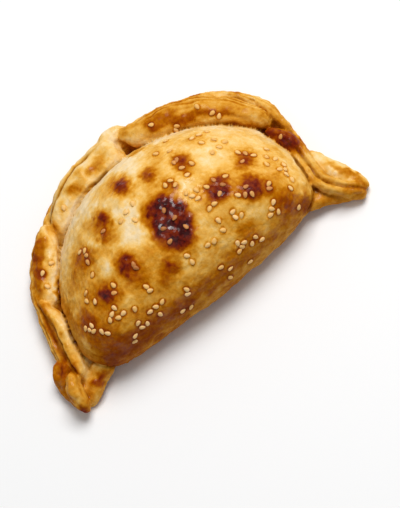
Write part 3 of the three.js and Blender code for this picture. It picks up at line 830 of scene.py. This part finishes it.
def paint(piece, name, values):
    """Keeps one value from 0 to 1 at each point of a piece, for its material to read."""
    attributes = piece.data.attributes
    attribute = attributes[name] if name in attributes else attributes.new(name, "FLOAT", "POINT")
    attribute.data.foreach_set("value", np.clip(values, 0, 1))


# The browning attribute carries real browning together with the painted shade of creases, grooves and patches
paint(dough, "browning", browning)
paint(dough, "gloss", gloss)
# The crease attribute holds the painted shade, which darkens the crust's colour
paint(dough, "crease", shade)
paint(dough, "wash", wash)


class Shade:
    """A value over the surface: wraps an output socket, and arithmetic on it adds Math nodes."""

    def __init__(self, socket):
        self.socket = socket

    @staticmethod
    def node(tree, kind, settings, sockets):
        """Adds a node: its settings first, a ramp's stops among them, then its sockets' values or links."""
        made = tree.nodes.new(kind)
        for key, value in settings.items():
            if key == "stops":
                for place, colour in value[1:-1]:
                    made.color_ramp.elements.new(place)
                for element, (place, colour) in zip(made.color_ramp.elements, value):
                    element.position = place
                    element.color = (*colour, 1)
            else:
                setattr(made, key, value)
        for key, value in sockets.items():
            if isinstance(value, Shade):
                tree.links.new(value.socket, made.inputs[key])
            else:
                made.inputs[key].default_value = value
        return made

    @staticmethod
    def math(operation, first, second):
        """A Math node on two values, at least one of them a Shade."""
        tree = (first if isinstance(first, Shade) else second).socket.id_data
        made = Shade.node(tree, "ShaderNodeMath", {"operation": operation}, {0: first, 1: second})
        return Shade(made.outputs[0])

    def __add__(self, other):
        return Shade.math("ADD", self, other)

    def __radd__(self, other):
        return Shade.math("ADD", other, self)

    def __sub__(self, other):
        return Shade.math("SUBTRACT", self, other)

    def __rsub__(self, other):
        return Shade.math("SUBTRACT", other, self)

    def __mul__(self, other):
        return Shade.math("MULTIPLY", self, other)

    def __rmul__(self, other):
        return Shade.math("MULTIPLY", other, self)


def bare_material(piece, name):
    """Puts a new material on a piece, and gives its node tree, with no nodes in it yet."""
    material = bpy.data.materials.new(name)
    material.use_nodes = True
    material.node_tree.nodes.clear()
    piece.data.materials.append(material)
    return material.node_tree


def noise(tree, size, detail):
    """Fractal noise from 0 to 1 over the object's own place, with features of a size in millimetres."""
    place = Shade(Shade.node(tree, "ShaderNodeTexCoord", {}, {}).outputs["Object"])
    sockets = {"Vector": place, "Scale": MM_PER_METRE / size, "Detail": detail}
    return Shade(Shade.node(tree, "ShaderNodeTexNoise", {}, sockets).outputs["Fac"])


def painted(tree, name):
    """The value of one of the piece's own attributes."""
    return Shade(Shade.node(tree, "ShaderNodeAttribute", {"attribute_name": name}, {}).outputs["Fac"])


def ramp(tree, value, stops):
    """A colour for each value, blended between the stops."""
    return Shade(Shade.node(tree, "ShaderNodeValToRGB", {"stops": stops}, {0: value}).outputs[0])


def surfaced(tree, sockets):
    """Ends a material with a Principled surface that has the given sockets."""
    surface = Shade.node(tree, "ShaderNodeBsdfPrincipled", {}, sockets)
    Shade.node(tree, "ShaderNodeOutputMaterial", {}, {"Surface": Shade(surface.outputs[0])})


# Crust colours, from pale dough through gold and amber to charred, and a dark tint that the crease attribute
# multiplies in as painted shade of the creases. The tone wavers in clouds, grain and pores, and the egg wash
# lies as a patchy clear coat.
CRUST_STOPS = [
    (0.00, (0.86, 0.67, 0.40)), (0.14, (0.84, 0.56, 0.21)), (0.27, (0.78, 0.43, 0.085)),
    (0.40, (0.65, 0.28, 0.022)), (0.52, (0.47, 0.147, 0.001)), (0.64, (0.32, 0.066, 0.0)),
    (0.76, (0.20, 0.022, 0.002)), (0.88, (0.115, 0.008, 0.004)), (1.00, (0.040, 0.004, 0.004)),
]
CREASE_SHADE_TINT = (0.16, 0.09, 0.045, 1)
CLOUD_SIZE = 6
GRAIN_SIZE = 1.6
PORE_SIZE = 0.7
SHEEN_SIZE = 5
NOISE_MIDDLE = 0.5
CLOUD_SWING = 0.24
GRAIN_SWING = 0.24
CHARRED_SWING = 0.3
PORE_SWING = 0.1
SHEEN_RANGE = {"From Min": 0.46, "From Max": 0.66}
SHEEN_COAT = 0.34
CHARRED_COAT = 0.08
CHARRED_SHEEN = 0.5
CHARRED_BUMP = 1.5
PORE_BUMP = 0.5
CRUST_ROUGHNESS = 0.42
CHARRED_SMOOTHER = 0.08
tree = bare_material(dough, "crust")
charred_gloss = painted(tree, "gloss")
clouds = noise(tree, CLOUD_SIZE, detail=3)
grain = noise(tree, GRAIN_SIZE, detail=4)
pores = noise(tree, PORE_SIZE, detail=2)
grain_swing = GRAIN_SWING + charred_gloss * CHARRED_SWING
tone = painted(tree, "browning") + (clouds - NOISE_MIDDLE) * CLOUD_SWING
tone = tone + (grain - NOISE_MIDDLE) * grain_swing + (pores - NOISE_MIDDLE) * PORE_SWING
# The crust's colour, multiplied by the dark tint where the crease attribute paints shade
colour_with_shade = Shade.node(tree, "ShaderNodeMix", {"data_type": "RGBA", "blend_type": "MULTIPLY"}, {
    0: painted(tree, "crease"), 6: ramp(tree, tone, CRUST_STOPS), 7: CREASE_SHADE_TINT})
height = grain * (1 + charred_gloss * CHARRED_BUMP) + pores * PORE_BUMP
bump = Shade.node(tree, "ShaderNodeBump", {}, {"Strength": 0.45, "Distance": 0.0007, "Height": height})
sheen = Shade(Shade.node(tree, "ShaderNodeMapRange", {}, {
    "Value": noise(tree, SHEEN_SIZE, detail=2), **SHEEN_RANGE}).outputs[0])
coat = charred_gloss * (CHARRED_COAT + sheen * CHARRED_SHEEN) + sheen * SHEEN_COAT
surfaced(tree, {
    "Base Color": Shade(colour_with_shade.outputs[2]),
    "Roughness": CRUST_ROUGHNESS - charred_gloss * CHARRED_SMOOTHER,
    "Coat Weight": coat * painted(tree, "wash"),
    "Normal": Shade(bump.outputs[0]),
    "Specular IOR Level": 0.02,
    "Coat Roughness": 0.16,
})
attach(dough, "root")
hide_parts("empanada")

# Sesame seeds: hulled, strewn on the egg wash before baking and held where it dried round them. They lie
# flat on the crust in loose patches, each given by its middle, how far it reaches and how many it holds.
SEED_LENGTH = 2.8
SEED_WIDTH = 1.9
SEED_THICKNESS = 1.0
SEED_TAPER = 0.26
SEED_SUNK = 0.3
SEED_TURN = 2.3
PATCH_TURN = 1.7
STREWN_HEIGHT = 200
GOLDEN_ANGLE = np.pi * (3 - np.sqrt(5))
SEED_PATCHES = [
    (19, 65.5, 7, 4), (36, 62, 4.5, 4), (22.5, 56.5, 5, 4), (38.5, 55, 4.5, 4), (12.5, 54, 2.8, 3),
    (-8.5, 54, 5.5, 4), (17.5, 44.5, 3.4, 4), (28.5, 40.5, 5.6, 5), (45.5, 43, 4.2, 4), (54, 37, 4.4, 4),
    (35, 31.5, 3.8, 4), (54.5, 28.5, 2.8, 4), (45.5, 27, 1.6, 2), (26.5, 25.5, 2.6, 3), (17.5, 26, 3.5, 2),
    (11, 22.5, 2.6, 2), (0, 24, 2.6, 2), (20, 35.5, 2.4, 2), (19.5, 14.5, 2.6, 4), (26.5, 12.5, 3, 3),
    (41, 18, 3.4, 4), (52.5, 22, 3, 2), (9, 10, 4, 3), (50, 12, 0, 1), (19, 6.5, 0, 1), (-10.5, 13, 1.6, 2),
    (-14.5, 6.5, 3, 2), (-24, 15, 4.2, 4), (-33.5, 13.5, 2.6, 3), (-22.5, 24, 1.8, 2), (-32, 21, 0, 1),
    (-40, 24.5, 3.8, 5), (-52.5, 26.5, 2.4, 4), (-48.5, 20.5, 2, 2), (-39.5, 11, 2, 2), (-45, 36, 3.6, 3),
    (-34.5, 33, 2.6, 2), (-35, 54, 2.2, 3), (-35.5, 47, 4.5, 2), (-22.5, 55.5, 0, 1), (-21, 35, 1.4, 2),
    (3, 39.5, 8, 5), (22.5, 81, 0, 1), (43.5, 74.5, 0, 1), (47.5, 66, 2.6, 2), (31, 73, 1.4, 2),
    (-56, 58.6, 0, 1), (-50.2, 59.8, 0, 1), (-57.9, 52.7, 0, 1), (-31.2, 76.2, 0, 1), (64, 41, 0, 1),
]


def seed_skin(columns=12, rows=7):
    """One seed lying along x: a circle drawn out to a length, width and thickness, narrower at its tip."""
    along = np.linspace(0, np.pi, rows + 2)[1:-1, None]
    around = np.arange(columns) / columns * 2 * np.pi
    girth = np.sin(along) * (1 - SEED_TAPER * np.cos(along))
    x = SEED_LENGTH / 2 * np.cos(along) + 0 * around
    y = SEED_WIDTH / 2 * girth * np.cos(around)
    z = SEED_THICKNESS / 2 * girth * np.sin(around)
    points, quads, fans = closed_skin(np.dstack([x, y, z])[::-1])
    points[-2:, 0] = [-SEED_LENGTH / 2, SEED_LENGTH / 2]
    return points, quads, fans


# Each patch is a sunflower's spiral: the seeds lie out by the root of their share of the count, each turned
# on by the golden angle. Each seed drops along the view onto the crust.
crust_tree = BVHTree.FromPolygons(dough_points.tolist(), dough_quads.tolist())
seats, leans = [], []
for patch, (x, up, reach, count) in enumerate(SEED_PATCHES):
    for i in range(count):
        out = reach * np.sqrt((i + 0.5) / count)
        way = GOLDEN_ANGLE * i + PATCH_TURN * patch
        above = np.array([x + out * np.cos(way), 0, 0]) + VIEW_UP * (up + out * np.sin(way))
        hit, lean = crust_tree.ray_cast(above + VIEW_FROM * STREWN_HEIGHT, -VIEW_FROM)[:2]
        seats.append(hit + lean * (SEED_THICKNESS / 2 - SEED_SUNK))
        leans.append(lean)
seats, leans = np.array(seats), np.array(leans)

one_seed, seed_quads, seed_fans = seed_skin()
across = np.cross([0, 1, 0], leans)
across /= np.linalg.norm(across, axis=1, keepdims=True)
endways = np.cross(leans, across)
turns = SEED_TURN * np.arange(len(seats))[:, None]
c, s = np.cos(turns), np.sin(turns)
axes = np.stack([c * across + s * endways, c * endways - s * across, leans], axis=1)
placed = one_seed @ axes + seats[:, None]
seed_points, seed_faces = joined([(points, seed_quads, seed_fans) for points in placed])
seeds = new_piece("sesame_seeds", in_frame(seed_points), seed_faces)

# A ring round each seed is browned: partly the wash that pooled there, partly painted shade of the seed
POOL_RADIUS = 1.45
POOL_WIDTH = 0.38
POOL_AND_SHADE_TONE = 0.21
POOL_SHOWS = (0.8, 0.4)
POOL_REACH = 4
to_seed = np.full(len(dough_points), FAR)
for seat in seats:
    close = np.flatnonzero(np.abs(dough_points[:, 0] - seat[0]) < POOL_REACH)
    to_seed[close] = np.minimum(to_seed[close], np.linalg.norm(dough_points[close] - seat, axis=1))
browning += POOL_AND_SHADE_TONE * bell(to_seed - POOL_RADIUS, POOL_WIDTH) * smooth(*POOL_SHOWS, browning)
paint(dough, "browning", browning)

# Seeds toasted unevenly, more on the top of the dome and most on the blisters
TOAST = 0.2
TOP_TOAST = 0.14
TOP_UP = (20, 40)
UNEVEN_TOAST = 0.15
BLISTER_TOAST = 0.45
BLISTER_TOASTED = (1.5, -1)
seed_seen = np.column_stack([seats[:, 0], seats @ VIEW_UP])
uneven = np.random.default_rng(5).uniform(-1, 1, len(seats))
toast = TOAST + TOP_TOAST * smooth(*TOP_UP, seed_seen[:, 1]) + UNEVEN_TOAST * uneven
for *patch, depth in BLISTERS + SCORCHED:
    toast += BLISTER_TOAST * depth * smooth(*BLISTER_TOASTED, outside_patch(seed_seen, *patch))
paint(seeds, "toast", np.repeat(toast, len(one_seed)))

# Seed colours, from cream through gold to brown
SEED_STOPS = [
    (0.0, (0.90, 0.59, 0.26)), (0.4, (0.80, 0.46, 0.13)),
    (0.7, (0.60, 0.25, 0.07)), (1.0, (0.30, 0.09, 0.02)),
]
HULL_SIZE = 1.2
HULL_SWING = 0.3
tree = bare_material(seeds, "sesame")
tone = painted(tree, "toast") + (noise(tree, HULL_SIZE, detail=2) - NOISE_MIDDLE) * HULL_SWING
surfaced(tree, {"Base Color": ramp(tree, tone, SEED_STOPS), "Roughness": 0.45, "Specular IOR Level": 0.2})
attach(seeds, "root")
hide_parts("empanada")

# Stage: a plain pale floor, a broad soft light from above the border, and the camera that looks down over
# the fold, turned so that the ears run from lower left to upper right.
FLOOR_REACH = 3
FLOOR_COLOUR = (0.93, 0.93, 0.93, 1)
FLOOR_ROUGHNESS = 0.9
corners = [(-1, -1, 0), (1, -1, 0), (1, 1, 0), (-1, 1, 0)]
floor = new_piece("floor", FLOOR_REACH * np.array(corners), [(0, 1, 2, 3)])
tree = bare_material(floor, "pale floor")
surfaced(tree, {"Base Color": FLOOR_COLOUR, "Roughness": FLOOR_ROUGHNESS})

CAMERA_RISE = np.radians(70)
CAMERA_ROLL = np.radians(38.12)
CAMERA_AWAY = 0.75
CAMERA_LENS = 121.6
CAMERA_AIM = Vector(in_frame([4.15, 19.4, 12.0]))
level_right = Vector((1, 0, 0))
level_up = Vector((0, np.sin(CAMERA_RISE), np.cos(CAMERA_RISE)))
backwards = Vector((0, -np.cos(CAMERA_RISE), np.sin(CAMERA_RISE)))
right = level_right * np.cos(CAMERA_ROLL) - level_up * np.sin(CAMERA_ROLL)
upward = level_right * np.sin(CAMERA_ROLL) + level_up * np.cos(CAMERA_ROLL)
lens = bpy.data.cameras.new("camera")
lens.lens = CAMERA_LENS
camera = bpy.data.objects.new("camera", lens)
turned = Matrix((right, upward, backwards)).transposed().to_4x4()
camera.matrix_world = Matrix.Translation(CAMERA_AIM + backwards * CAMERA_AWAY) @ turned
bpy.context.collection.objects.link(camera)
bpy.context.scene.camera = camera

WINDOW_BACK = 0.75
WINDOW_UP = 0.56
WINDOW_RIGHT = 0.40
WINDOW_AWAY = 1.6
WINDOW_SIDE = 0.8
WINDOW_WATTS = 24.5
ROOM_STRENGTH = 0.30
towards = (backwards * WINDOW_BACK + level_up * WINDOW_UP + level_right * WINDOW_RIGHT).normalized()
light = bpy.data.lights.new("window", "AREA")
light.size = WINDOW_SIDE
light.energy = WINDOW_WATTS
window = bpy.data.objects.new("window", light)
turned = towards.to_track_quat("Z", "Y").to_matrix().to_4x4()
window.matrix_world = Matrix.Translation(CAMERA_AIM + towards * WINDOW_AWAY) @ turned
bpy.context.collection.objects.link(window)

room = bpy.data.worlds.new("room")
bpy.context.scene.world = room
room.use_nodes = True
background = room.node_tree.nodes["Background"]
background.inputs["Color"].default_value = (1, 1, 1, 1)
background.inputs["Strength"].default_value = ROOM_STRENGTH
bpy.context.scene.view_settings.view_transform = "Standard"
